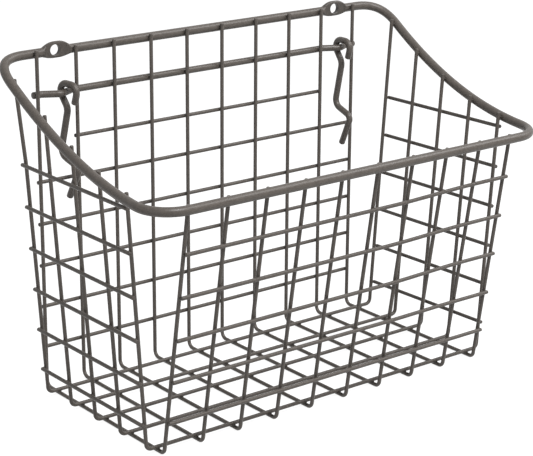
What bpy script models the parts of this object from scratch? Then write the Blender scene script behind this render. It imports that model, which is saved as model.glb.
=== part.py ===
"""Pegboard wire basket: welded wires under a sloping rim, with two screw eyelets and two swinging hooks.

Units are metres and Z is up. Everything is laid out from the plane of the back uprights, with the floor
wires standing on Z zero and the wall at plus Y. One empty then carries the whole basket, so that the
origin is the middle of the underside of its bounding box.
"""

import math

import bmesh
import bpy
from mathutils import Euler, Vector

# Wire thicknesses, and the air between wires that touch
WIRE = 0.0025
RIM_WIRE = 0.0059
ROD_WIRE = 0.0045
HOOK_WIRE = 0.0044
CONTACT_GAP = 0.0003

# U-shaped wires that run from the back, under the floor and up the front
UPRIGHT_COUNT = 10
UPRIGHT_PITCH = 0.028575
FLOOR_DEPTH = 0.1322
FRONT_LEAN_SHARE = 0.1630
BACK_BEND = 0.0045
FRONT_BEND = 0.0038
BACK_TIP_RISE = 0.0030
FRONT_TIP_RISE = 0.0017

# U-shaped wires that run from side to side on top of them. The last one keeps a margin from the front,
# and the sides stand a margin outside the outermost uprights. They end higher on the right.
CROSS_COUNT = 5
CROSS_FIRST = 0.0158
CROSS_FRONT_MARGIN = 0.0056
SIDE_MARGIN = 0.0085
SIDE_LEAN_SHARE = 0.0688
SIDE_BEND = 0.0036
LEFT_TIP_RISE = 0.0018
RIGHT_TIP_RISE = 0.0036

# Straight wires welded outside the uprights, in even rows. The top row lies a drop below the rod at the
# back, and below the front rail at the front and sides. The back has a short row above its even ones.
# Each row runs past its outermost uprights by a stub, and the left ones run furthest at the front.
STUB = 0.0008
SIDE_BACK_STUB = 0.0003
LEFT_FRONT_STUB = 0.0034
RIGHT_FRONT_STUB = 0.0003
BACK_ROW_COUNT = 5
BACK_ROW_FIRST = 0.0274
BACK_ROW_DROP = 0.0564
SHORT_ROW_DROP = 0.0300
FRONT_ROW_COUNT = 5
FRONT_ROW_FIRST = 0.0228
FRONT_ROW_DROP = 0.0287
SIDE_ROW_COUNT = 6
SIDE_ROW_FIRST = 0.0210
SIDE_ROW_DROP = 0.0042

# Rim, one closed loop of thick wire outside all the uprights
BACK_RAIL_HEIGHT = 0.2211
FRONT_RAIL_HEIGHT = 0.1622
BACK_CORNER_DROP = 0.0116
BACK_CORNER_WIDTH = 0.0212
CORNER_HANDLE_SHARE = 0.70
FRONT_CORNER_RADIUS = 0.0215

# Eyelets, forged flat in the back rail, each shifted to the right from the middle of its gap.
# A hole is shifted by a share of what its eyelet is.
EYELET_LENGTH = 0.0209
EYELET_HEIGHT = 0.0106
EYELET_THICKNESS = 0.0031
EYELET_LIFT = 0.0008
EYELET_FLAT = 0.0150
LEFT_EYELET_SHIFT = 0.0024
RIGHT_EYELET_SHIFT = 0.0006
HOLE_SHIFT_SHARE = 0.50
SCREW_HOLE = 0.0070
CUT_OVERRUN = 0.0020

# Rod that carries the hooks, a drop below the back rail, with a shallow V in each end gap.
# The whole rod is welded on a little to the right.
ROD_DROP = 0.0262
ROD_STUB = 0.0033
ROD_SHIFT = 0.0016
VEE_DEPTH = 0.0060
VEE_MARGIN = 0.0033
ROD_BEND = 0.0040

# Hooks, each bent in one plane: a loop over the rod, a leg, a step forward and an end.
# Corner places are measured backward and upward from the rod's centre, and slides from the V's tip.
HOOK_PLAY = 0.0008
LOOP_TIP = (-0.0075, -0.0068)
LOOP_DEPTH = 0.0109
LOOP_BEND = 0.0050
HOOK_KNEE = (-0.0014, -0.0106)
HOOK_HEEL = (0.0053, -0.0418)
HOOK_TOE = (-0.0120, -0.0478)
HOOK_END = (-0.0027, -0.0690)
KNEE_BEND = 0.0070
HEEL_BEND = 0.0060
TOE_BEND = 0.0037
LEFT_HOOK_SLIDE = 0.0054
LEFT_HOOK_TURN = math.radians(10)
LEFT_HOOK_SWING = math.radians(2)
RIGHT_HOOK_SLIDE = 0.0016

# Mesh steps
BEND_STEPS = 6
CORNER_STEPS = 9
SIDE_STEPS = 12
EYELET_STEPS = 20
WRAP_STEPS = 10
HOLE_SIDES = 32
THIN_RESOLUTION = 2
THICK_RESOLUTION = 4

# Paint
PAINT_COLOUR = (0.108, 0.096, 0.086, 1.0)
PAINT_ROUGHNESS = 0.40
PAINT_METALLIC = 0.0

# Places worked out from the sizes above
FLOOR_LEVEL = WIRE / 2
CROSS_LEVEL = FLOOR_LEVEL + WIRE + CONTACT_GAP
ROW_OUTSET = WIRE + CONTACT_GAP
RIM_OUTSET = WIRE / 2 + CONTACT_GAP + RIM_WIRE / 2
ROD_OUTSET = WIRE / 2 + CONTACT_GAP + ROD_WIRE / 2
ROD_HEIGHT = BACK_RAIL_HEIGHT - ROD_DROP
UPRIGHT_REACH = (UPRIGHT_COUNT - 1) / 2 * UPRIGHT_PITCH
EYELET_REACH = UPRIGHT_REACH - UPRIGHT_PITCH / 2
FLOOR_REACH = UPRIGHT_REACH + SIDE_MARGIN
CROSS_LAST = FLOOR_DEPTH - CROSS_FRONT_MARGIN
WRAP_RADIUS = (ROD_WIRE + HOOK_WIRE) / 2 + HOOK_PLAY
VEE_HALF = UPRIGHT_PITCH / 2 - VEE_MARGIN


def front_y(height, outset=0.0):
    """Y of the leaning front at a height, moved out square to it by the outset."""
    return -(FLOOR_DEPTH + FRONT_LEAN_SHARE * height) - outset * math.hypot(1, FRONT_LEAN_SHARE)


def side_x(height, outset=0.0):
    """X of the right side at a height, moved out square to it by the outset."""
    return FLOOR_REACH + SIDE_LEAN_SHARE * height + outset * math.hypot(1, SIDE_LEAN_SHARE)


def rod_y(x):
    """Y of the hanger rod's centre, which steps forward in a V in each end gap."""
    return ROD_OUTSET - VEE_DEPTH * max(0.0, 1 - abs(abs(x - ROD_SHIFT) - EYELET_REACH) / VEE_HALF)


def front_rail_depth():
    """Depth of the front rail's centre."""
    return -front_y(FRONT_RAIL_HEIGHT, RIM_OUTSET)


def rim_height(depth):
    """Height of the rim's centre along a side, a parabola that levels out at the front rail."""
    rise = BACK_RAIL_HEIGHT - BACK_CORNER_DROP - FRONT_RAIL_HEIGHT
    share = (front_rail_depth() - depth) / (front_rail_depth() - CROSS_FIRST)
    return FRONT_RAIL_HEIGHT + rise * share * share


def rim_slope(depth):
    """Fall of the rim for each unit of depth, along a side."""
    rise = BACK_RAIL_HEIGHT - BACK_CORNER_DROP - FRONT_RAIL_HEIGHT
    return 2 * rise * (front_rail_depth() - depth) / (front_rail_depth() - CROSS_FIRST) ** 2


def rim_side_point(depth):
    """Centre of the right side of the rim at a depth."""
    height = rim_height(depth)
    return Vector((side_x(height, RIM_OUTSET), -depth, height))


def arc(centre, radius, start, end, steps):
    """Points of an arc in the YZ plane, angles measured from plus Y towards plus Z."""
    angles = [start + (end - start) * step / steps for step in range(steps + 1)]
    return [centre + radius * Vector((0, math.cos(angle), math.sin(angle))) for angle in angles]


def bent(corners, bends):
    """Points of a wire through the corners, with each inner corner bent to its own radius."""
    points = [corners[0]]
    for before, corner, after, radius in zip(corners, corners[1:], corners[2:], bends):
        way_in = (corner - before).normalized()
        way_out = (after - corner).normalized()
        turn = way_in.angle(way_out)
        inward = (way_out - way_in * math.cos(turn)).normalized()
        start = corner - way_in * radius * math.tan(turn / 2)
        for step in range(BEND_STEPS + 1):
            angle = turn * step / BEND_STEPS
            points.append(start + radius * (way_in * math.sin(angle) + inward * (1 - math.cos(angle))))
    points.append(corners[-1])
    return points


def tube_curve(name, points, diameter, resolution=THIN_RESOLUTION, closed=False):
    """Curve data for a round wire along the points."""
    curve = bpy.data.curves.new(name, "CURVE")
    curve.dimensions = "3D"
    curve.twist_mode = "Z_UP" if closed else "MINIMUM"
    curve.bevel_depth = diameter / 2
    curve.bevel_resolution = resolution
    curve.use_fill_caps = not closed
    spline = curve.splines.new("POLY")
    spline.points.add(len(points) - 1)
    for knot, place in zip(spline.points, points):
        knot.co = (*place, 1)
    spline.use_cyclic_u = closed
    return curve


def paint(piece):
    """Give a piece its own coat of satin paint."""
    coat = bpy.data.materials.new(piece.name + "_paint")
    coat.use_nodes = True
    shader = coat.node_tree.nodes["Principled BSDF"]
    shader.inputs["Base Color"].default_value = PAINT_COLOUR
    shader.inputs["Roughness"].default_value = PAINT_ROUGHNESS
    shader.inputs["Metallic"].default_value = PAINT_METALLIC
    if not piece.data.materials:
        piece.data.materials.append(None)
    piece.material_slots[0].link = "OBJECT"
    piece.material_slots[0].material = coat


def place(name, data, place_at=(0, 0, 0)):
    """Put one sub-part in the basket, carried by the datum empty."""
    piece = bpy.data.objects.new(name, data)
    bpy.data.collections["pegboard_wire_basket"].objects.link(piece)
    piece.parent = bpy.data.objects["basket_datum"]
    piece.location = place_at
    paint(piece)
    return piece


def front_back_wires():
    """Ten equal wires: down the back, along the floor and up the leaning front."""
    back_top = BACK_RAIL_HEIGHT + BACK_TIP_RISE
    front_top = FRONT_RAIL_HEIGHT + FRONT_TIP_RISE
    corners = [
        Vector((0, 0, back_top)),
        Vector((0, 0, FLOOR_LEVEL)),
        Vector((0, front_y(FLOOR_LEVEL), FLOOR_LEVEL)),
        Vector((0, front_y(front_top), front_top)),
    ]
    shared = tube_curve("front_back_wire", bent(corners, (BACK_BEND, FRONT_BEND)), WIRE)
    for number in range(UPRIGHT_COUNT):
        x = number * UPRIGHT_PITCH - UPRIGHT_REACH
        place(f"front_back_wire_{number + 1:02d}", shared, (x, 0, 0))


def even_rows(first, last, count):
    """Numbered places of even rows, from the first one to the last."""
    return [(number + 1, first + (last - first) * number / (count - 1)) for number in range(count)]


def cross_wires():
    """Wires from side to side, resting on the floor wires and ending at the sloping rim."""
    for number, depth in even_rows(CROSS_FIRST, CROSS_LAST, CROSS_COUNT):
        left_top = rim_height(depth) + LEFT_TIP_RISE
        right_top = rim_height(depth) + RIGHT_TIP_RISE
        corners = [
            Vector((-side_x(left_top), 0, left_top)),
            Vector((-side_x(CROSS_LEVEL), 0, CROSS_LEVEL)),
            Vector((side_x(CROSS_LEVEL), 0, CROSS_LEVEL)),
            Vector((side_x(right_top), 0, right_top)),
        ]
        name = f"cross_wire_{number}"
        place(name, tube_curve(name, bent(corners, (SIDE_BEND, SIDE_BEND)), WIRE), (0, -depth, 0))


def straight_wire(name, half_length, along, place_at):
    """One straight wire centred on a place."""
    ends = [-half_length * Vector(along), half_length * Vector(along)]
    place(name, tube_curve(name, ends, WIRE), place_at)


def back_wires():
    """Even rows across the back, outside the uprights, and a short one that leaves the end gaps open."""
    for number, height in even_rows(BACK_ROW_FIRST, ROD_HEIGHT - BACK_ROW_DROP, BACK_ROW_COUNT):
        spot = (0, ROW_OUTSET, height)
        straight_wire(f"back_wire_{number}", UPRIGHT_REACH + STUB, (1, 0, 0), spot)
    short_reach = UPRIGHT_REACH - UPRIGHT_PITCH + STUB
    spot = (0, ROW_OUTSET, ROD_HEIGHT - SHORT_ROW_DROP)
    straight_wire(f"back_wire_{BACK_ROW_COUNT + 1}", short_reach, (1, 0, 0), spot)


def front_wires():
    """Rows across the front, outside the leaning legs."""
    top = FRONT_RAIL_HEIGHT - FRONT_ROW_DROP
    for number, height in even_rows(FRONT_ROW_FIRST, top, FRONT_ROW_COUNT):
        spot = (0, front_y(height, ROW_OUTSET), height)
        straight_wire(f"front_wire_{number}", UPRIGHT_REACH + STUB, (1, 0, 0), spot)


def side_wires():
    """Rows along both sides, outside the cross wires' legs."""
    back = CROSS_FIRST - SIDE_BACK_STUB
    top = FRONT_RAIL_HEIGHT - SIDE_ROW_DROP
    for side, label, stub in ((-1, "left", LEFT_FRONT_STUB), (1, "right", RIGHT_FRONT_STUB)):
        front = CROSS_LAST + stub
        for number, height in even_rows(SIDE_ROW_FIRST, top, SIDE_ROW_COUNT):
            spot = (side * side_x(height, ROW_OUTSET), -(back + front) / 2, height)
            straight_wire(f"{label}_wire_{number}", (front - back) / 2, (0, 1, 0), spot)


def back_corner():
    """Points from the back rail's straight end round to the first cross wire, as one cubic curve."""
    far = rim_side_point(CROSS_FIRST)
    near = Vector((far.x - BACK_CORNER_WIDTH, RIM_OUTSET, BACK_RAIL_HEIGHT))
    slope = rim_slope(CROSS_FIRST)
    climb = Vector((SIDE_LEAN_SHARE * slope, 1, slope))
    near_handle = near + Vector((BACK_CORNER_WIDTH, 0, 0)) * CORNER_HANDLE_SHARE
    far_handle = far + climb * (near.y - far.y) * CORNER_HANDLE_SHARE
    points = []
    for step in range(CORNER_STEPS + 1):
        t = step / CORNER_STEPS
        s = 1 - t
        points.append(near * s**3 + near_handle * 3 * s * s * t + far_handle * 3 * s * t * t + far * t**3)
    return points


def front_corner():
    """Points round the front corner, a quarter circle seen from above."""
    side_end = rim_side_point(front_rail_depth() - FRONT_CORNER_RADIUS)
    points = []
    for step in range(CORNER_STEPS + 1):
        angle = math.pi / 2 * step / CORNER_STEPS
        x = side_end.x - FRONT_CORNER_RADIUS * (1 - math.cos(angle))
        y = side_end.y - FRONT_CORNER_RADIUS * math.sin(angle)
        points.append(Vector((x, y, rim_height(-y))))
    return points


def rim_half(eyelet_shift):
    """Centreline of the rim's right half, from the back, with its eyelet shifted outward."""
    half = []
    for step in range(EYELET_STEPS + 1):
        x = EYELET_REACH + eyelet_shift + EYELET_LENGTH * (step / EYELET_STEPS - 0.5)
        half.append(Vector((x, RIM_OUTSET, BACK_RAIL_HEIGHT)))
    half += back_corner()
    side_run = front_rail_depth() - FRONT_CORNER_RADIUS - CROSS_FIRST
    half += [rim_side_point(CROSS_FIRST + side_run * step / SIDE_STEPS) for step in range(1, SIDE_STEPS)]
    return half + front_corner()


def rim_points():
    """The rim's whole centreline: the right half, then the left half as a mirror image."""
    left = rim_half(-LEFT_EYELET_SHIFT)
    return rim_half(RIGHT_EYELET_SHIFT) + [Vector((-point.x, point.y, point.z)) for point in reversed(left)]


def eyelet_places():
    """Each eyelet's label, the middle of its flat and the middle of its hole."""
    return (
        (
            "left",
            LEFT_EYELET_SHIFT - EYELET_REACH,
            LEFT_EYELET_SHIFT * HOLE_SHIFT_SHARE - EYELET_REACH,
        ),
        (
            "right",
            RIGHT_EYELET_SHIFT + EYELET_REACH,
            RIGHT_EYELET_SHIFT * HOLE_SHIFT_SHARE + EYELET_REACH,
        ),
    )


def forge_eyelet(mesh, middle):
    """Press the rail flat around a place, so that it grows taller and its faces lie flat."""
    for vertex in mesh.vertices:
        along = abs(vertex.co.x - middle)
        if vertex.co.y < 0 or along >= EYELET_LENGTH / 2:
            continue
        swell = (1 - (2 * along / EYELET_LENGTH) ** 3) ** 1.5
        taper = (EYELET_LENGTH - EYELET_FLAT) / 2
        flat = min(1.0, (EYELET_LENGTH / 2 - along) / taper)
        up = vertex.co.z - BACK_RAIL_HEIGHT
        growth = 1 + (EYELET_HEIGHT / RIM_WIRE - 1) * swell
        half = (RIM_WIRE + (EYELET_THICKNESS - RIM_WIRE) * flat) / 2
        out = vertex.co.y - RIM_OUTSET
        vertex.co.z = BACK_RAIL_HEIGHT + up * growth + EYELET_LIFT * swell
        vertex.co.y = RIM_OUTSET + max(-half, min(half, out))


def screw_hole_cutter(name, middle):
    """A cylinder along Y through the middle of an eyelet."""
    mesh = bpy.data.meshes.new(name)
    form = bmesh.new()
    radius = SCREW_HOLE / 2
    depth = RIM_WIRE + 2 * CUT_OVERRUN
    bmesh.ops.create_cone(
        form, cap_ends=True, segments=HOLE_SIDES, radius1=radius, radius2=radius, depth=depth
    )
    form.to_mesh(mesh)
    form.free()
    cutter = bpy.data.objects.new(name, mesh)
    bpy.data.collections["cutters"].objects.link(cutter)
    cutter.parent = bpy.data.objects["basket_datum"]
    cutter.location = (middle, RIM_OUTSET, BACK_RAIL_HEIGHT + EYELET_LIFT)
    cutter.rotation_euler = (math.pi / 2, 0, 0)
    cutter.hide_render = True
    cutter.display_type = "WIRE"
    return cutter


def rim():
    """The thick rim wire, forged into an eyelet in each end gap and drilled there."""
    curve = tube_curve("rim_wire", rim_points(), RIM_WIRE, THICK_RESOLUTION, closed=True)
    blank = bpy.data.objects.new("rim_blank", curve)
    bpy.data.collections["cutters"].objects.link(blank)
    evaluated = blank.evaluated_get(bpy.context.evaluated_depsgraph_get())
    mesh = bpy.data.meshes.new_from_object(evaluated)
    bpy.data.objects.remove(blank)
    bpy.data.curves.remove(curve)
    for _, middle, _ in eyelet_places():
        forge_eyelet(mesh, middle)
    piece = place("rim", mesh)
    for label, _, hole_middle in eyelet_places():
        hole = piece.modifiers.new(f"{label}_screw_hole", "BOOLEAN")
        hole.operation = "DIFFERENCE"
        hole.solver = "EXACT"
        hole.object = screw_hole_cutter(f"{label}_screw_hole_cutter", hole_middle)
    mesh.shade_smooth()
    mesh.set_sharp_from_angle(angle=math.radians(40))


def hanger_rod():
    """The rod behind the uprights, with its two forward Vs."""
    bends = [EYELET_REACH - VEE_HALF, EYELET_REACH, EYELET_REACH + VEE_HALF]
    right = [(x, rod_y(x + ROD_SHIFT)) for x in (*bends, UPRIGHT_REACH + ROD_STUB)]
    left = [(-x, y) for x, y in reversed(right)]
    points = bent([Vector((x, y, 0)) for x, y in left + right], [ROD_BEND] * 6)
    place("hanger_rod", tube_curve("hanger_rod", points, ROD_WIRE), (ROD_SHIFT, 0, ROD_HEIGHT))


def hook_points():
    """A hook's centreline, measured from the rod's centre, from the tip of its loop to its end."""
    tip = Vector((0, *LOOP_TIP))
    shoulder = Vector((0, -LOOP_DEPTH, WRAP_RADIUS))
    over = Vector((0, 0, WRAP_RADIUS))
    knee = Vector((0, *HOOK_KNEE))
    leave = math.atan2(knee.z, knee.y) + math.acos(WRAP_RADIUS / knee.length)
    wrap = arc(Vector((0, 0, 0)), WRAP_RADIUS, math.pi / 2, leave, WRAP_STEPS)
    corners = [wrap[-1], knee] + [Vector((0, *corner)) for corner in (HOOK_HEEL, HOOK_TOE, HOOK_END)]
    leg = bent(corners, (KNEE_BEND, HEEL_BEND, TOE_BEND))
    return bent([tip, shoulder, over], [LOOP_BEND]) + wrap[1:] + leg[1:]


def hook_places():
    """Each hook's name, x and rotation."""
    left_turn = Euler((LEFT_HOOK_SWING, 0, LEFT_HOOK_TURN))
    return (
        ("hook_left", ROD_SHIFT + LEFT_HOOK_SLIDE - EYELET_REACH, left_turn),
        ("hook_right", ROD_SHIFT + RIGHT_HOOK_SLIDE + EYELET_REACH, Euler((0, 0, 0))),
    )


def hooks():
    """Two equal hooks, each with its origin on the rod's centre, which is its hinge."""
    shared = tube_curve("hook", hook_points(), HOOK_WIRE)
    for name, x, rotation in hook_places():
        place(name, shared, (x, rod_y(x), ROD_HEIGHT)).rotation_euler = rotation


def datum_y():
    """Y that centres the bounding box: the rim reaches furthest forward, rim or hooks furthest back."""
    forward = front_y(FRONT_RAIL_HEIGHT, RIM_OUTSET) - RIM_WIRE / 2
    backward = RIM_OUTSET + RIM_WIRE / 2
    for _, x, rotation in hook_places():
        reach = max((rotation.to_matrix() @ point).y for point in hook_points())
        backward = max(backward, rod_y(x) + reach + HOOK_WIRE / 2)
    return -(forward + backward) / 2


def main():
    for leftover in list(bpy.data.objects):
        bpy.data.objects.remove(leftover)
    for name in ("pegboard_wire_basket", "cutters"):
        bpy.context.scene.collection.children.link(bpy.data.collections.new(name))
    datum = bpy.data.objects.new("basket_datum", None)
    bpy.data.collections["pegboard_wire_basket"].objects.link(datum)
    datum.location = (0, datum_y(), 0)
    front_back_wires()
    cross_wires()
    back_wires()
    front_wires()
    side_wires()
    rim()
    hanger_rod()
    hooks()


main()
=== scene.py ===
"""Looks of the pegboard wire basket: round painted wires, weld fillets, forged eyelets and bent
hooks, with the chance bends of the basket in the photograph.

Lengths are metres and angles radians. The basket is laid out as its frame is, from the plane of
the back uprights and the underside of the floor wires, and WALL then moves every piece to the
frame's own Y.
"""

import math
import random

import bmesh
import bpy
from mathutils import Euler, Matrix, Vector

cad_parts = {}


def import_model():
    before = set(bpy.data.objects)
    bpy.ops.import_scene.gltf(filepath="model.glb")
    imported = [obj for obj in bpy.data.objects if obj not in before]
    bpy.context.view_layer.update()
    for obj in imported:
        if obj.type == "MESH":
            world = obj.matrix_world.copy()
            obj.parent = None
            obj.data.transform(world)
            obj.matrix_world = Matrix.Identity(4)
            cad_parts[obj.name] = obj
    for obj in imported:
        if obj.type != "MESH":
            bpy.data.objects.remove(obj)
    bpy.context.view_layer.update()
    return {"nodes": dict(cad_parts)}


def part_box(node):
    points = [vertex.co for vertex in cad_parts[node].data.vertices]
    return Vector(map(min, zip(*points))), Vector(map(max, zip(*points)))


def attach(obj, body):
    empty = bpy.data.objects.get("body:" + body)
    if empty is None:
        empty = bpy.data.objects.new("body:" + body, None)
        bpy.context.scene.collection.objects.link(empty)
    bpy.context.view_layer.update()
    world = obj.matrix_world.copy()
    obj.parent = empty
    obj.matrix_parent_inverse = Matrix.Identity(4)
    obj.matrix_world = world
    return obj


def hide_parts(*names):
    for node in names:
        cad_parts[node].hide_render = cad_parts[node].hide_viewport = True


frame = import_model()

# Diameters of the wires as in the frame, and the gap that its solids keep in place of a weld
WIRE = 0.0025
RIM_WIRE = 0.0059
ROD_WIRE = 0.0045
HOOK_WIRE = 0.0044
CONTACT_GAP = 0.0003

# Front-back wires: an upright, a floor run and a leaning front leg
UPRIGHT_COUNT = 10
UPRIGHT_PITCH = 0.028575
FLOOR_DEPTH = 0.1322
FRONT_LEAN_SHARE = 0.1630
BACK_BEND = 0.0045
FRONT_BEND = 0.0038
BACK_TIP_RISE = 0.0030
FRONT_TIP_RISE = 0.0017

# Cross wires: a run on the floor wires and a leg at each side
CROSS_COUNT = 5
CROSS_FIRST = 0.0158
CROSS_FRONT_MARGIN = 0.0056
SIDE_MARGIN = 0.0085
SIDE_LEAN_SHARE = 0.0688
SIDE_BEND = 0.0036
LEFT_TIP_RISE = 0.0018
RIGHT_TIP_RISE = 0.0036

# Rim
BACK_RAIL_HEIGHT = 0.2211
FRONT_RAIL_HEIGHT = 0.1622
BACK_CORNER_DROP = 0.0116
BACK_CORNER_WIDTH = 0.0212
CORNER_HANDLE_SHARE = 0.70
FRONT_CORNER_RADIUS = 0.0215

# Eyelets, forged flat in the back rail and punched; the two powers shape how they swell
EYELET_LENGTH = 0.0209
EYELET_HEIGHT = 0.0106
EYELET_THICKNESS = 0.0031
EYELET_LIFT = 0.0008
EYELET_FLAT = 0.0150
EYELET_SHOULDER_POWER = 3
EYELET_CROWN_POWER = 1.5
LEFT_EYELET_SHIFT = 0.0024
RIGHT_EYELET_SHIFT = 0.0006
HOLE_SHIFT_SHARE = 0.50
SCREW_HOLE = 0.0070
HOLE_CHAMFER = 0.0003

# Hanger rod, with a V in each end gap
ROD_DROP = 0.0262
ROD_STUB = 0.0033
ROD_SHIFT = 0.0016
VEE_DEPTH = 0.0060
VEE_MARGIN = 0.0033
ROD_BEND = 0.0040

# Hooks: corners as Y and Z from the rod's centre, and how each hook hangs
HOOK_PLAY = 0.0008
LOOP_TIP = (-0.0075, -0.0068)
LOOP_DEPTH = 0.0109
LOOP_BEND = 0.0050
HOOK_KNEE = (-0.0014, -0.0106)
HOOK_HEEL = (0.0053, -0.0418)
HOOK_TOE = (-0.0120, -0.0478)
HOOK_END = (-0.0027, -0.0690)
KNEE_BEND = 0.0070
HEEL_BEND = 0.0060
TOE_BEND = 0.0037
LEFT_HOOK_SLIDE = 0.0054
LEFT_HOOK_TURN = math.radians(10)
LEFT_HOOK_SWING = math.radians(2)
RIGHT_HOOK_SLIDE = 0.0016

# Chance bends of the photographed basket, which the solids leave out. The first cross wire's left
# leg leans at its tip, the last front leg leans to the left, the rows of the right side slope, and
# the rows of the front curve up towards their right end. That rise grows over RISE_RUN from the X
# of RISE_START, and from row to row over RISE_HEIGHT from the height of RISE_FOOT.
FIRST_TIP_SHIFT = Vector((-0.0010, 0.0025, 0.0006))
FIRST_LEG_BEND = 0.0500
LAST_LEG_LEAN = 0.0019
RIGHT_ROW_TILT = 0.0017
RIGHT_ROW_DROP = 0.0003
LEFT_ROW_LIFT = 0.0003
FRONT_ROW_RISE = 0.0017
RISE_START = 0.0286
RISE_RUN = 0.0714
RISE_FOOT = 0.0350
RISE_HEIGHT = 0.0350

# Sides of the round meshes, steps of their curves, how much of a cut end's radius is rounded, how
# steep a wire has to be to count as upright, and the angle from which an edge is sharp
THIN_SIDES = 16
THICK_SIDES = 28
HOOK_SIDES = 22
HOLE_SIDES = 56
BEND_STEPS = 12
CORNER_STEPS = 26
SIDE_STEPS = 40
EYELET_STEPS = 64
WRAP_STEPS = 14
ROW_STEPS = 24
END_STEPS = 4
END_ROUND_SHARE = 0.42
STEEP = 0.9
SHARP_ANGLE = math.radians(42)

# Weld fillets
WELD_SHARE = 0.92
WELD_SPREAD = (0.9, 1.0)
WELD_SEED = 7
WELD_WAIST = 0.20
WELD_BITE = 0.00006
WELD_SIDES = 16
WELD_RINGS = 5

# Paint: its colour, its mottling and gloss, and the fine grain of its surface
PAINT = (0.105, 0.090, 0.078)
SPECULAR_LEVEL = 0.42
CLOUD = {"Scale": 420, "Detail": 4, "Roughness": 0.6}
TONE_RANGE = (0.32, 0.68)
GLOSS_RANGE = (0.3, 0.7)
GLOSS_SWING = 0.06
PEEL = {"Scale": 1900, "Detail": 2}
PEEL_DEPTH = 0.00012

# Painted shade on the rim: brightness of its paint at distances from the middle of a screw hole,
# which are shares of an eyelet's length. It is dark on the hole walls and dimmer on the eyelets'
# flat faces
EYELET_PAINTED_SHADES = ((0.172, 0.40), (0.200, 0.74), (0.420, 0.74), (0.520, 1.0))

# Floor and world
WHITE = (1, 1, 1, 1)
AMBIENT = 0.04
FLOOR_COLOUR = (0.55, 0.55, 0.55, 1)
FLOOR_SHADOW_COLOUR = (0.30, 0.30, 0.30, 1)
FLOOR_GLOW = 0.93
FLOOR_SIZE = 14
FLOOR_CLEARANCE = 0.0002

# Lamps: name, place, length of the square's side, and power
LAMPS = (
    ("key", (0.05, -1.3, 1.95), 0.8, 41),
    ("side", (1.35, -0.6, 1.5), 0.9, 16),
    ("fill", (-1.8, -0.6, 0.8), 1.2, 3),
)
LAMP_AIM = Vector((0, 0, 0.11))

# Camera: place from the plane of the back uprights, turn, and focal length in picture pixels
CAMERA_PLACE = (-0.69663, -0.94708, 0.46267)
CAMERA_TURN = (1.2594788, -0.0066333, -0.6675187)
FOCAL_PIXELS = 1811.41
PICTURE_WIDTH = 533
SENSOR_WIDTH = 36
VIEW_REACH = 20

# Places worked out from the sizes above
THIN = WIRE / 2
FLOOR_LEVEL = THIN
CROSS_LEVEL = FLOOR_LEVEL + WIRE + CONTACT_GAP
RIM_OUTSET = THIN + CONTACT_GAP + RIM_WIRE / 2
ROD_OUTSET = THIN + CONTACT_GAP + ROD_WIRE / 2
ROD_HEIGHT = BACK_RAIL_HEIGHT - ROD_DROP
UPRIGHT_REACH = (UPRIGHT_COUNT - 1) / 2 * UPRIGHT_PITCH
EYELET_REACH = UPRIGHT_REACH - UPRIGHT_PITCH / 2
FLOOR_REACH = UPRIGHT_REACH + SIDE_MARGIN
CROSS_LAST = FLOOR_DEPTH - CROSS_FRONT_MARGIN
SIDE_RISE = BACK_RAIL_HEIGHT - BACK_CORNER_DROP - FRONT_RAIL_HEIGHT
WRAP_RADIUS = (ROD_WIRE + HOOK_WIRE) / 2 + HOOK_PLAY
VEE_HALF = UPRIGHT_PITCH / 2 - VEE_MARGIN
LEAN_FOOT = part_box("left_wire_6")[0].z + THIN
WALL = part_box("front_back_wire_01")[1].y - THIN

EYELETS = (LEFT_EYELET_SHIFT - EYELET_REACH, RIGHT_EYELET_SHIFT + EYELET_REACH)
HOLES = (
    LEFT_EYELET_SHIFT * HOLE_SHIFT_SHARE - EYELET_REACH,
    RIGHT_EYELET_SHIFT * HOLE_SHIFT_SHARE + EYELET_REACH,
)
UPRIGHTS = [number * UPRIGHT_PITCH - UPRIGHT_REACH for number in range(UPRIGHT_COUNT)]
DEPTHS = [
    CROSS_FIRST + (CROSS_LAST - CROSS_FIRST) * number / (CROSS_COUNT - 1)
    for number in range(CROSS_COUNT)
]
ROWS = {
    side: [node for node in sorted(frame["nodes"]) if node.startswith(side + "_wire")]
    for side in ("back", "front", "left", "right")
}
X_WAY = Vector((1, 0, 0))
Y_WAY = Vector((0, 1, 0))
Z_WAY = Vector((0, 0, 1))
FRONT_OUT = Vector((0, -1, -FRONT_LEAN_SHARE)).normalized()
FRONT_UP = Vector((0, -FRONT_LEAN_SHARE, 1)).normalized()


def front_y(height, outset=0.0):
    """Y of the leaning front at a height, moved out square to it by the outset."""
    return -(FLOOR_DEPTH + FRONT_LEAN_SHARE * height) - outset * math.hypot(1, FRONT_LEAN_SHARE)


def side_x(height, outset=0.0):
    """X of the right side at a height, moved out square to it by the outset."""
    return FLOOR_REACH + SIDE_LEAN_SHARE * height + outset * math.hypot(1, SIDE_LEAN_SHARE)


def rod_y(x):
    """Y of the hanger rod's centre, which steps forward in a V in each end gap."""
    share = max(0.0, 1 - abs(abs(x - ROD_SHIFT) - EYELET_REACH) / VEE_HALF)
    return ROD_OUTSET - VEE_DEPTH * share


RAIL_DEPTH = -front_y(FRONT_RAIL_HEIGHT, RIM_OUTSET)


def rim_height(depth):
    """Height of the rim's centre along a side."""
    share = (RAIL_DEPTH - depth) / (RAIL_DEPTH - CROSS_FIRST)
    return FRONT_RAIL_HEIGHT + SIDE_RISE * share * share


def rim_slope(depth):
    """Fall of the rim for each unit of depth, along a side."""
    return 2 * SIDE_RISE * (RAIL_DEPTH - depth) / (RAIL_DEPTH - CROSS_FIRST) ** 2


def rim_side_point(depth):
    """Centre of the right side of the rim at a depth."""
    height = rim_height(depth)
    return Vector((side_x(height, RIM_OUTSET), -depth, height))


def held(share):
    """A share held between 0 and 1."""
    return max(0.0, min(1.0, share))


def eased(share):
    """A held share that starts and ends softly."""
    share = held(share)
    return share * share * (3 - 2 * share)


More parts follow.
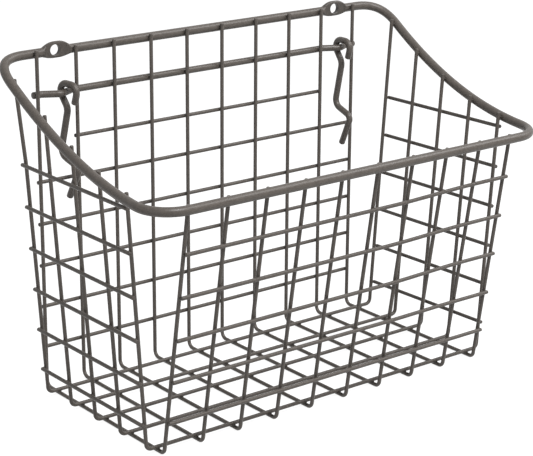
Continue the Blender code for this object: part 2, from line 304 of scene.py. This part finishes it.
def last_leg_shift(height):
    """How far the last front leg stands to the left at a height."""
    return LAST_LEG_LEAN * height / FRONT_RAIL_HEIGHT


def front_row_rise(x, height):
    """How far a row of the front lies above its place at an X, more so for the upper rows."""
    strength = held((height - RISE_FOOT) / RISE_HEIGHT)
    return FRONT_ROW_RISE * strength * eased((x - RISE_START) / RISE_RUN)


def side_row_rise(label, depth):
    """How far a row of a side lies above its place at a depth."""
    if label == "left":
        return LEFT_ROW_LIFT
    middle = (CROSS_FIRST + CROSS_LAST) / 2
    return RIGHT_ROW_TILT * (depth - middle) / (CROSS_LAST - CROSS_FIRST) - RIGHT_ROW_DROP


def bent(corners, bends):
    """Points of a wire through the corners, with each inner corner bent to its own radius."""
    points = [corners[0]]
    for before, corner, after, radius in zip(corners, corners[1:], corners[2:], bends):
        way_in = (corner - before).normalized()
        way_out = (after - corner).normalized()
        turn = way_in.angle(way_out)
        inward = (way_out - way_in * math.cos(turn)).normalized()
        start = corner - way_in * radius * math.tan(turn / 2)
        for step in range(BEND_STEPS + 1):
            angle = turn * step / BEND_STEPS
            arm = way_in * math.sin(angle) + inward * (1 - math.cos(angle))
            points.append(start + radius * arm)
    points.append(corners[-1])
    return points


def rounded_ends(points, radius):
    """Rings of an open wire: centre and radius of each, with both cut ends rounded off."""
    first = (points[1] - points[0]).normalized()
    last = (points[-1] - points[-2]).normalized()
    edge = radius * END_ROUND_SHARE
    nose = []
    for step in range(END_STEPS + 1):
        angle = math.pi / 2 * step / END_STEPS
        nose.append((edge * (1 - math.sin(angle)), radius - edge * (1 - math.cos(angle))))
    head = [(points[0] + first * inset, size) for inset, size in reversed(nose)]
    tail = [(points[-1] - last * inset, size) for inset, size in nose]
    return head + [(point, radius) for point in points[1:-1]] + tail


def band(form, low, high):
    """A closed band of faces between two loops of vertices."""
    for side in range(len(low)):
        after = (side + 1) % len(low)
        form.faces.new((low[side], low[after], high[after], high[side]))


def sweep(rings, sides, closed=False):
    """A round mesh through the rings, with its cross-section carried along without twist."""
    form = bmesh.new()
    centres = [centre for centre, _ in rings]
    count = len(centres)
    loops = []
    across = None
    for index, (centre, radius) in enumerate(rings):
        before = centres[index - 1] if closed or index else centres[0]
        after = centres[(index + 1) % count] if closed or index < count - 1 else centres[-1]
        way = (after - before).normalized()
        if across is None:
            across = Z_WAY if abs(way.z) < STEEP else Y_WAY
        across = (across - way * across.dot(way)).normalized()
        other = way.cross(across)
        angles = [2 * math.pi * side / sides for side in range(sides)]
        loops.append([
            form.verts.new(centre + radius * (across * math.cos(angle) + other * math.sin(angle)))
            for angle in angles
        ])
    pairs = list(zip(loops, loops[1:]))
    if closed:
        pairs.append((loops[-1], loops[0]))
    for low, high in pairs:
        band(form, low, high)
    if not closed:
        form.faces.new(list(reversed(loops[0])))
        form.faces.new(loops[-1])
    return form


def add(name, data):
    """A new object in the scene."""
    added = bpy.data.objects.new(name, data)
    bpy.context.scene.collection.objects.link(added)
    return added


def add_mesh(name, form):
    """A new object made from a bmesh, with its faces turned outward."""
    bmesh.ops.recalc_face_normals(form, faces=form.faces)
    mesh = bpy.data.meshes.new(name)
    form.to_mesh(mesh)
    form.free()
    return add(name, mesh)


def finish_piece(name, form, material, body="basket", replaces=()):
    """Turn a bmesh in basket coordinates into a painted piece that rides on a body."""
    bmesh.ops.translate(form, verts=form.verts, vec=(0, WALL, 0))
    piece = add_mesh(name, form)
    piece.data.shade_smooth()
    piece.data.set_sharp_from_angle(angle=SHARP_ANGLE)
    piece.data.materials.append(material)
    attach(piece, body)
    if replaces:
        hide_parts(*replaces)


# Materials


def add_node(nodes, kind, values=None, operation=None):
    """A new shader node with the values of its sockets, and its operation where it has one."""
    node = nodes.new(kind)
    for socket, value in (values or {}).items():
        node.inputs[socket].default_value = value
    if operation:
        node.operation = operation
    return node


def satin_paint(name, shade, mottle, grain, roughness, seed):
    """Satin paint over steel: soft mottling, a fine orange-peel grain and uneven gloss."""
    material = bpy.data.materials.new(name)
    material.use_nodes = True
    nodes = material.node_tree.nodes
    links = material.node_tree.links
    shader = nodes["Principled BSDF"]
    shader.inputs["Metallic"].default_value = 0.0
    shader.inputs["Specular IOR Level"].default_value = SPECULAR_LEVEL
    place = nodes.new("ShaderNodeTexCoord")
    shift = add_node(nodes, "ShaderNodeMapping", {"Location": (seed, seed / 2, -seed)})
    links.new(place.outputs["Object"], shift.inputs["Vector"])

    cloud = add_node(nodes, "ShaderNodeTexNoise", CLOUD)
    links.new(shift.outputs["Vector"], cloud.inputs["Vector"])
    tone = nodes.new("ShaderNodeValToRGB")
    # A shade below 1 dims the paint's colour, which is painted shade
    ends = zip(tone.color_ramp.elements, TONE_RANGE, (-mottle, mottle))
    for element, position, change in ends:
        element.position = position
        element.color = (*[part * shade * (1 + change) for part in PAINT], 1)
    links.new(cloud.outputs["Fac"], tone.inputs["Fac"])
    links.new(tone.outputs["Color"], shader.inputs["Base Color"])

    gloss = add_node(nodes, "ShaderNodeMapRange", {
        "From Min": GLOSS_RANGE[0],
        "From Max": GLOSS_RANGE[1],
        "To Min": roughness - GLOSS_SWING,
        "To Max": roughness + GLOSS_SWING,
    })
    links.new(cloud.outputs["Fac"], gloss.inputs["Value"])
    links.new(gloss.outputs["Result"], shader.inputs["Roughness"])

    peel = add_node(nodes, "ShaderNodeTexNoise", PEEL)
    links.new(shift.outputs["Vector"], peel.inputs["Vector"])
    bump = add_node(nodes, "ShaderNodeBump", {"Strength": grain, "Distance": PEEL_DEPTH})
    links.new(peel.outputs["Fac"], bump.inputs["Height"])
    links.new(bump.outputs["Normal"], shader.inputs["Normal"])
    return material


# The thin wires' paint is a copy of the same paint at 0.93 of its brightness: painted shade
SHADED_WIRE_PAINT = satin_paint(
    "satin_wire_paint_with_painted_shade", shade=0.93, mottle=0.16, grain=0.25, roughness=0.42, seed=1.7
)
RIM_PAINT = satin_paint(
    "satin_rim_paint", shade=1, mottle=0.15, grain=0.30, roughness=0.39, seed=4.1
)
ROD_PAINT = satin_paint(
    "satin_rod_paint", shade=1, mottle=0.15, grain=0.20, roughness=0.34, seed=6.3
)
HOOK_PAINT = satin_paint(
    "satin_hook_paint", shade=1, mottle=0.17, grain=0.30, roughness=0.38, seed=8.9
)
# The welds' paint is at half the paint's brightness: painted shade in the creases where the wires
# cross
WELD_SHADE_PAINT = satin_paint(
    "satin_weld_painted_shade", shade=0.5, mottle=0.16, grain=0.45, roughness=0.50, seed=11.2
)


def paint_eyelet_shade(material):
    """Paint shade into a paint: dimmer on the forged eyelets and dark on the walls of their screw
    holes.
    """
    nodes = material.node_tree.nodes
    links = material.node_tree.links
    place = nodes.new("ShaderNodeTexCoord")
    nearest = add_node(nodes, "ShaderNodeMath", operation="MINIMUM")
    for index, x in enumerate(HOLES):
        middle = (x, RIM_OUTSET + WALL, BACK_RAIL_HEIGHT + EYELET_LIFT)
        away = add_node(nodes, "ShaderNodeVectorMath", {1: middle}, "DISTANCE")
        links.new(place.outputs["Object"], away.inputs[0])
        links.new(away.outputs["Value"], nearest.inputs[index])
    share = add_node(nodes, "ShaderNodeMath", {1: EYELET_LENGTH}, "DIVIDE")
    links.new(nearest.outputs[0], share.inputs[0])
    shade = nodes.new("ShaderNodeValToRGB")
    elements = shade.color_ramp.elements
    for element, (position, _) in zip(elements, EYELET_PAINTED_SHADES):
        element.position = position
    for position, _ in EYELET_PAINTED_SHADES[2:]:
        elements.new(position)
    for element, (_, value) in zip(elements, EYELET_PAINTED_SHADES):
        element.color = (value, value, value, 1)
    links.new(share.outputs[0], shade.inputs["Fac"])
    base = nodes["Principled BSDF"].inputs["Base Color"]
    product = add_node(nodes, "ShaderNodeVectorMath", operation="MULTIPLY")
    links.new(base.links[0].from_socket, product.inputs[0])
    links.new(shade.outputs["Color"], product.inputs[1])
    links.new(product.outputs["Vector"], base)


# Wires


def wire_piece(
    node,
    points,
    diameter=WIRE,
    sides=THIN_SIDES,
    material=SHADED_WIRE_PAINT,
    body="basket",
):
    """One round wire that stands for its CAD node."""
    form = sweep(rounded_ends(points, diameter / 2), sides)
    finish_piece(node + "_wire", form, material, body, (node,))


def front_back_wires():
    """U-shaped wires from the back rail under the floor to the front rail."""
    back_top = BACK_RAIL_HEIGHT + BACK_TIP_RISE
    front_top = FRONT_RAIL_HEIGHT + FRONT_TIP_RISE
    for number, x in enumerate(UPRIGHTS):
        corners = [
            Vector((x, 0, back_top)),
            Vector((x, 0, FLOOR_LEVEL)),
            Vector((x, front_y(FLOOR_LEVEL), FLOOR_LEVEL)),
            Vector((x, front_y(front_top), front_top)),
        ]
        if number == UPRIGHT_COUNT - 1:
            corners[-1].x -= last_leg_shift(front_top)
        wire_piece(f"front_back_wire_{number + 1:02d}", bent(corners, (BACK_BEND, FRONT_BEND)))


def cross_wires():
    """U-shaped wires from side to side, the first with the bend of its left tip."""
    for number, depth in enumerate(DEPTHS):
        left_top = rim_height(depth) + LEFT_TIP_RISE
        right_top = rim_height(depth) + RIGHT_TIP_RISE
        corners = [
            Vector((-side_x(left_top), -depth, left_top)),
            Vector((-side_x(CROSS_LEVEL), -depth, CROSS_LEVEL)),
            Vector((side_x(CROSS_LEVEL), -depth, CROSS_LEVEL)),
            Vector((side_x(right_top), -depth, right_top)),
        ]
        bends = [SIDE_BEND, SIDE_BEND]
        if number == 0:
            corners[0] += FIRST_TIP_SHIFT
            corners.insert(1, Vector((-side_x(LEAN_FOOT), -depth, LEAN_FOOT)))
            bends.insert(0, FIRST_LEG_BEND)
        wire_piece(f"cross_wire_{number + 1}", bent(corners, bends))


def straight_wires():
    """Rows of the back, front and sides, each laid along the middle of its CAD node's box."""
    for label, nodes in ROWS.items():
        for node in nodes:
            low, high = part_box(node)
            middle = (low + high) / 2 - Vector((0, WALL, 0))
            along = X_WAY if label in ("back", "front") else Y_WAY
            half = (high - low).dot(along) / 2
            points = [
                middle + along * half * (2 * step / ROW_STEPS - 1) for step in range(ROW_STEPS + 1)
            ]
            if label == "front":
                points[-1].x -= last_leg_shift(middle.z)
                for point in points:
                    rise = front_row_rise(point.x, middle.z)
                    point.y -= FRONT_LEAN_SHARE * rise
                    point.z += rise
            elif label != "back":
                side = 1 if label == "right" else -1
                for point in points:
                    rise = side_row_rise(label, -point.y)
                    point.x += side * SIDE_LEAN_SHARE * rise
                    point.z += rise
            wire_piece(node, points)


def rim_half(eyelet_shift):
    """Centreline of the rim's right half, from the back, with its eyelet shifted outward."""
    half = []
    for step in range(EYELET_STEPS + 1):
        x = EYELET_REACH + eyelet_shift + EYELET_LENGTH * (step / EYELET_STEPS - 0.5)
        half.append(Vector((x, RIM_OUTSET, BACK_RAIL_HEIGHT)))
    far = rim_side_point(CROSS_FIRST)
    near = Vector((far.x - BACK_CORNER_WIDTH, RIM_OUTSET, BACK_RAIL_HEIGHT))
    slope = rim_slope(CROSS_FIRST)
    climb = Vector((SIDE_LEAN_SHARE * slope, 1, slope))
    near_handle = near + Vector((BACK_CORNER_WIDTH, 0, 0)) * CORNER_HANDLE_SHARE
    far_handle = far + climb * (near.y - far.y) * CORNER_HANDLE_SHARE
    for step in range(CORNER_STEPS + 1):
        t = step / CORNER_STEPS
        s = 1 - t
        leaving = near * s**3 + near_handle * 3 * s * s * t
        half.append(leaving + far_handle * 3 * s * t * t + far * t**3)
    side_run = RAIL_DEPTH - FRONT_CORNER_RADIUS - CROSS_FIRST
    for step in range(1, SIDE_STEPS):
        half.append(rim_side_point(CROSS_FIRST + side_run * step / SIDE_STEPS))
    side_end = rim_side_point(RAIL_DEPTH - FRONT_CORNER_RADIUS)
    for step in range(CORNER_STEPS + 1):
        angle = math.pi / 2 * step / CORNER_STEPS
        x = side_end.x - FRONT_CORNER_RADIUS * (1 - math.cos(angle))
        y = side_end.y - FRONT_CORNER_RADIUS * math.sin(angle)
        half.append(Vector((x, y, rim_height(-y))))
    return half


def rim_points():
    """The rim's whole centreline: the right half, then the left half as a mirror image."""
    left = rim_half(-LEFT_EYELET_SHIFT)
    mirrored = [Vector((-point.x, point.y, point.z)) for point in reversed(left)]
    return rim_half(RIGHT_EYELET_SHIFT) + mirrored


def forge_eyelet(form, middle):
    """Press the rail flat around a place, so that it grows taller and its faces lie flat."""
    taper = (EYELET_LENGTH - EYELET_FLAT) / 2
    for vertex in form.verts:
        along = abs(vertex.co.x - middle)
        if vertex.co.y < 0 or along >= EYELET_LENGTH / 2:
            continue
        reach = 2 * along / EYELET_LENGTH
        swell = (1 - reach**EYELET_SHOULDER_POWER) ** EYELET_CROWN_POWER
        flat = eased((EYELET_LENGTH / 2 - along) / taper)
        up = vertex.co.z - BACK_RAIL_HEIGHT
        growth = 1 + (EYELET_HEIGHT / RIM_WIRE - 1) * swell
        half = (RIM_WIRE + (EYELET_THICKNESS - RIM_WIRE) * flat) / 2
        out = vertex.co.y - RIM_OUTSET
        vertex.co.z = BACK_RAIL_HEIGHT + up * growth + EYELET_LIFT * swell
        vertex.co.y = RIM_OUTSET + max(-half, min(half, out))


def punch(middle):
    """A screw hole's cutter: a spool along Y that flares at the eyelet's two faces."""
    radius = SCREW_HOLE / 2
    face = EYELET_THICKNESS / 2
    profile = [
        (-2 * face, radius + HOLE_CHAMFER + face),
        (-face, radius + HOLE_CHAMFER),
        (HOLE_CHAMFER - face, radius),
        (face - HOLE_CHAMFER, radius),
        (face, radius + HOLE_CHAMFER),
        (2 * face, radius + HOLE_CHAMFER + face),
    ]
    centre = Vector((middle, RIM_OUTSET, BACK_RAIL_HEIGHT + EYELET_LIFT))
    return sweep([(centre + Y_WAY * out, size) for out, size in profile], HOLE_SIDES)


def rim():
    """The thick rim, forged into an eyelet in each end gap and punched there."""
    # The eyelets and the walls of their screw holes get painted shade in the rim's paint
    paint_eyelet_shade(RIM_PAINT)
    form = sweep([(point, RIM_WIRE / 2) for point in rim_points()], THICK_SIDES, closed=True)
    for middle in EYELETS:
        forge_eyelet(form, middle)
    blank = add_mesh("rim_blank", form)
    cutters = [add_mesh("screw_hole", punch(middle)) for middle in HOLES]
    for cutter in cutters:
        cut = blank.modifiers.new("screw_hole", "BOOLEAN")
        cut.operation = "DIFFERENCE"
        cut.solver = "EXACT"
        cut.object = cutter
    evaluated = blank.evaluated_get(bpy.context.evaluated_depsgraph_get())
    form = bmesh.new()
    form.from_mesh(evaluated.to_mesh())
    for leftover in (blank, *cutters):
        bpy.data.objects.remove(leftover)
    finish_piece("forged_rim", form, RIM_PAINT, replaces=("rim",))


def hanger_rod():
    """The rod behind the uprights, with a V bent forward in each end gap."""
    bends = [EYELET_REACH - VEE_HALF, EYELET_REACH, EYELET_REACH + VEE_HALF]
    right = [(x, rod_y(x + ROD_SHIFT)) for x in (*bends, UPRIGHT_REACH + ROD_STUB)]
    left = [(-x, y) for x, y in reversed(right)]
    corners = [Vector((x + ROD_SHIFT, y, ROD_HEIGHT)) for x, y in left + right]
    points = bent(corners, [ROD_BEND] * (len(corners) - 2))
    wire_piece("hanger_rod", points, ROD_WIRE, HOOK_SIDES, ROD_PAINT)


def hook_points():
    """A hook's centreline, measured from the rod's centre, from the tip of its loop to its end."""
    tip = Vector((0, *LOOP_TIP))
    shoulder = Vector((0, -LOOP_DEPTH, WRAP_RADIUS))
    over = Vector((0, 0, WRAP_RADIUS))
    knee = Vector((0, *HOOK_KNEE))
    top = math.pi / 2
    leave = math.atan2(knee.z, knee.y) + math.acos(WRAP_RADIUS / knee.length)
    angles = [top + (leave - top) * step / WRAP_STEPS for step in range(WRAP_STEPS + 1)]
    wrap = [WRAP_RADIUS * Vector((0, math.cos(angle), math.sin(angle))) for angle in angles]
    ends = [Vector((0, *corner)) for corner in (HOOK_HEEL, HOOK_TOE, HOOK_END)]
    leg = bent([wrap[-1], knee, *ends], (KNEE_BEND, HEEL_BEND, TOE_BEND))
    return bent([tip, shoulder, over], [LOOP_BEND]) + wrap[1:] + leg[1:]


def hooks():
    """The two loose hooks, each where it hangs on the rod."""
    left_turn = Euler((LEFT_HOOK_SWING, 0, LEFT_HOOK_TURN))
    places = (
        ("hook_left", LEFT_HOOK_SLIDE - EYELET_REACH, left_turn),
        ("hook_right", RIGHT_HOOK_SLIDE + EYELET_REACH, Euler((0, 0, 0))),
    )
    for name, slide, rotation in places:
        x = ROD_SHIFT + slide
        hinge = Vector((x, rod_y(x), ROD_HEIGHT))
        points = [hinge + rotation.to_matrix() @ point for point in hook_points()]
        wire_piece(name, points, HOOK_WIRE, HOOK_SIDES, HOOK_PAINT, name)


# Welds


def weld(form, centre, out, over, over_radius, under, size):
    """A small concave fillet between a wire and the thin wire that crosses it further in."""
    beside = out.cross(over).normalized()
    under_beside = out.cross(under).normalized()
    reach = size * THIN
    lift = CONTACT_GAP / 2 + WELD_BITE
    rings = [[] for _ in range(WELD_RINGS)]
    for side in range(WELD_SIDES):
        angle = 2 * math.pi * side / WELD_SIDES
        way = over * math.cos(angle) + beside * math.sin(angle)
        from_over = reach * abs(way.dot(beside))
        from_under = reach * abs(way.dot(under_beside))
        top = lift + over_radius - math.sqrt(over_radius**2 - from_over**2)
        bottom = math.sqrt(THIN**2 - from_under**2) - THIN - lift
        for index, ring in enumerate(rings):
            share = index / (WELD_RINGS - 1)
            waist = 1 - WELD_WAIST * math.sin(math.pi * share)
            height = bottom + (top - bottom) * share
            ring.append(form.verts.new(centre + way * reach * waist + out * height))
    for low, high in zip(rings, rings[1:]):
        band(form, low, high)
    for ring, height in ((rings[0], -lift), (rings[-1], lift)):
        hub = form.verts.new(centre + out * height)
        for side in range(WELD_SIDES):
            form.faces.new((ring[side], ring[(side + 1) % WELD_SIDES], hub))


def welds():
    """Fillets wherever two wires cross, in one piece for each group of wires."""
    draws = random.Random(WELD_SEED)
    names = ("back", "front", "floor", "left", "right", "rim", "rod")
    groups = {name: bmesh.new() for name in names}
    contact = THIN + CONTACT_GAP / 2
    rim_contact = RIM_WIRE / 2 + CONTACT_GAP / 2

    def join(group, centre, out, over, over_radius, under):
        size = WELD_SHARE * draws.uniform(*WELD_SPREAD)
        weld(groups[group], centre, out, over, over_radius, under, size)

    for node in ROWS["back"]:
        low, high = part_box(node)
        for x in UPRIGHTS:
            if low.x < x < high.x:
                join("back", Vector((x, contact, (low.z + high.z) / 2)), Y_WAY, X_WAY, THIN, Z_WAY)
    for node in ROWS["front"]:
        low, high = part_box(node)
        middle = (low + high) / 2
        for x in UPRIGHTS:
            rise = front_row_rise(x, middle.z)
            shift = last_leg_shift(middle.z) if x == UPRIGHTS[-1] else 0.0
            y = middle.y - WALL - FRONT_LEAN_SHARE * rise
            spot = Vector((x - shift, y, middle.z + rise))
            join("front", spot - FRONT_OUT * contact, FRONT_OUT, X_WAY, THIN, FRONT_UP)
    for x in UPRIGHTS:
        for depth in DEPTHS:
            spot = Vector((x, -depth, WIRE + CONTACT_GAP / 2))
            join("floor", spot, Z_WAY, X_WAY, THIN, Y_WAY)
    for side, label in ((-1, "left"), (1, "right")):
        out = Vector((side, 0, -SIDE_LEAN_SHARE)).normalized()
        up = Vector((side * SIDE_LEAN_SHARE, 0, 1)).normalized()
        for node in ROWS[label]:
            low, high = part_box(node)
            middle = (low + high) / 2
            for depth in DEPTHS:
                rise = side_row_rise(label, depth)
                x = middle.x + side * SIDE_LEAN_SHARE * rise
                spot = Vector((x, -depth, middle.z + rise))
                join(label, spot - out * contact, out, Y_WAY, THIN, up)
        for depth in DEPTHS:
            # The first cross wire's left tip is pressed into the rim, which leaves no fillet
            if label == "left" and depth == CROSS_FIRST:
                continue
            slope = rim_slope(depth)
            along = Vector((side * SIDE_LEAN_SHARE * slope, 1, slope)).normalized()
            centre = rim_side_point(depth)
            spot = Vector((side * centre.x, centre.y, centre.z)) - out * rim_contact
            join("rim", spot, out, along, RIM_WIRE / 2, up)
    for x in UPRIGHTS:
        join("rim", Vector((x, contact, BACK_RAIL_HEIGHT)), Y_WAY, X_WAY, RIM_WIRE / 2, Z_WAY)
        shift = last_leg_shift(FRONT_RAIL_HEIGHT) if x == UPRIGHTS[-1] else 0.0
        front = Vector((x - shift, front_y(FRONT_RAIL_HEIGHT, RIM_OUTSET), FRONT_RAIL_HEIGHT))
        join("rim", front - FRONT_OUT * rim_contact, FRONT_OUT, X_WAY, RIM_WIRE / 2, FRONT_UP)
        join("rod", Vector((x, contact, ROD_HEIGHT)), Y_WAY, X_WAY, ROD_WIRE / 2, Z_WAY)
    for name, form in groups.items():
        # The fillets carry the welds' painted shade
        finish_piece(f"welds_{name}", form, WELD_SHADE_PAINT)


# Stage


def show_background(tree, plain, shown, output):
    """Give rays that show the background one shader, and all other rays the plain one.

    The background shows straight to the camera, off gloss and through glass.
    """
    nodes, links = tree.nodes, tree.links
    light_path = nodes.new("ShaderNodeLightPath")
    share = light_path.outputs["Is Camera Ray"]
    for ray in ("Is Glossy Ray", "Is Transmission Ray"):
        either = add_node(nodes, "ShaderNodeMath", operation="MAXIMUM")
        links.new(share, either.inputs[0])
        links.new(light_path.outputs[ray], either.inputs[1])
        share = either.outputs[0]
    mix = nodes.new("ShaderNodeMixShader")
    links.new(share, mix.inputs["Fac"])
    links.new(plain.outputs[0], mix.inputs[1])
    links.new(shown.outputs[0], mix.inputs[2])
    links.new(mix.outputs[0], output.inputs["Surface"])


def world():
    """A white background that adds only a little light of its own."""
    studio = bpy.data.worlds.new("studio")
    bpy.context.scene.world = studio
    studio.use_nodes = True
    nodes = studio.node_tree.nodes
    nodes.clear()
    ambient = add_node(nodes, "ShaderNodeBackground", {"Strength": AMBIENT, "Color": WHITE})
    white = add_node(nodes, "ShaderNodeBackground", {"Strength": 1, "Color": WHITE})
    show_background(studio.node_tree, ambient, white, nodes.new("ShaderNodeOutputWorld"))


def floor():
    """A pale floor that shows as white and keeps a faint shadow."""
    bpy.ops.mesh.primitive_plane_add(size=FLOOR_SIZE, location=(0, 0, -FLOOR_CLEARANCE))
    plane = bpy.context.object
    plane.name = "floor"
    material = bpy.data.materials.new("pale_floor")
    material.use_nodes = True
    nodes = material.node_tree.nodes
    links = material.node_tree.links
    nodes.clear()
    pale = add_node(nodes, "ShaderNodeBsdfDiffuse", {"Color": FLOOR_COLOUR})
    faint = add_node(nodes, "ShaderNodeBsdfDiffuse", {"Color": FLOOR_SHADOW_COLOUR})
    glow = add_node(nodes, "ShaderNodeEmission", {"Strength": FLOOR_GLOW})
    bright = nodes.new("ShaderNodeAddShader")
    links.new(faint.outputs[0], bright.inputs[0])
    links.new(glow.outputs[0], bright.inputs[1])
    show_background(material.node_tree, pale, bright, nodes.new("ShaderNodeOutputMaterial"))
    plane.data.materials.append(material)


def lamps():
    """Soft square area lights that face the basket's middle."""
    for name, place, size, power in LAMPS:
        data = bpy.data.lights.new(name, "AREA")
        data.shape = "SQUARE"
        data.size = size
        data.energy = power
        light = add(name, data)
        light.location = place
        light.rotation_euler = (LAMP_AIM - Vector(place)).to_track_quat("-Z", "Y").to_euler()


def camera():
    """The photograph's camera."""
    data = bpy.data.cameras.new("camera")
    data.sensor_fit = "HORIZONTAL"
    data.sensor_width = SENSOR_WIDTH
    data.lens = SENSOR_WIDTH * FOCAL_PIXELS / PICTURE_WIDTH
    data.clip_end = VIEW_REACH
    view = add("camera", data)
    x, y, z = CAMERA_PLACE
    view.location = (x, WALL + y, z)
    view.rotation_euler = CAMERA_TURN
    bpy.context.scene.camera = view


front_back_wires()
cross_wires()
straight_wires()
rim()
hanger_rod()
hooks()
welds()
world()
floor()
lamps()
camera()
bpy.context.scene.view_settings.view_transform = "Standard"
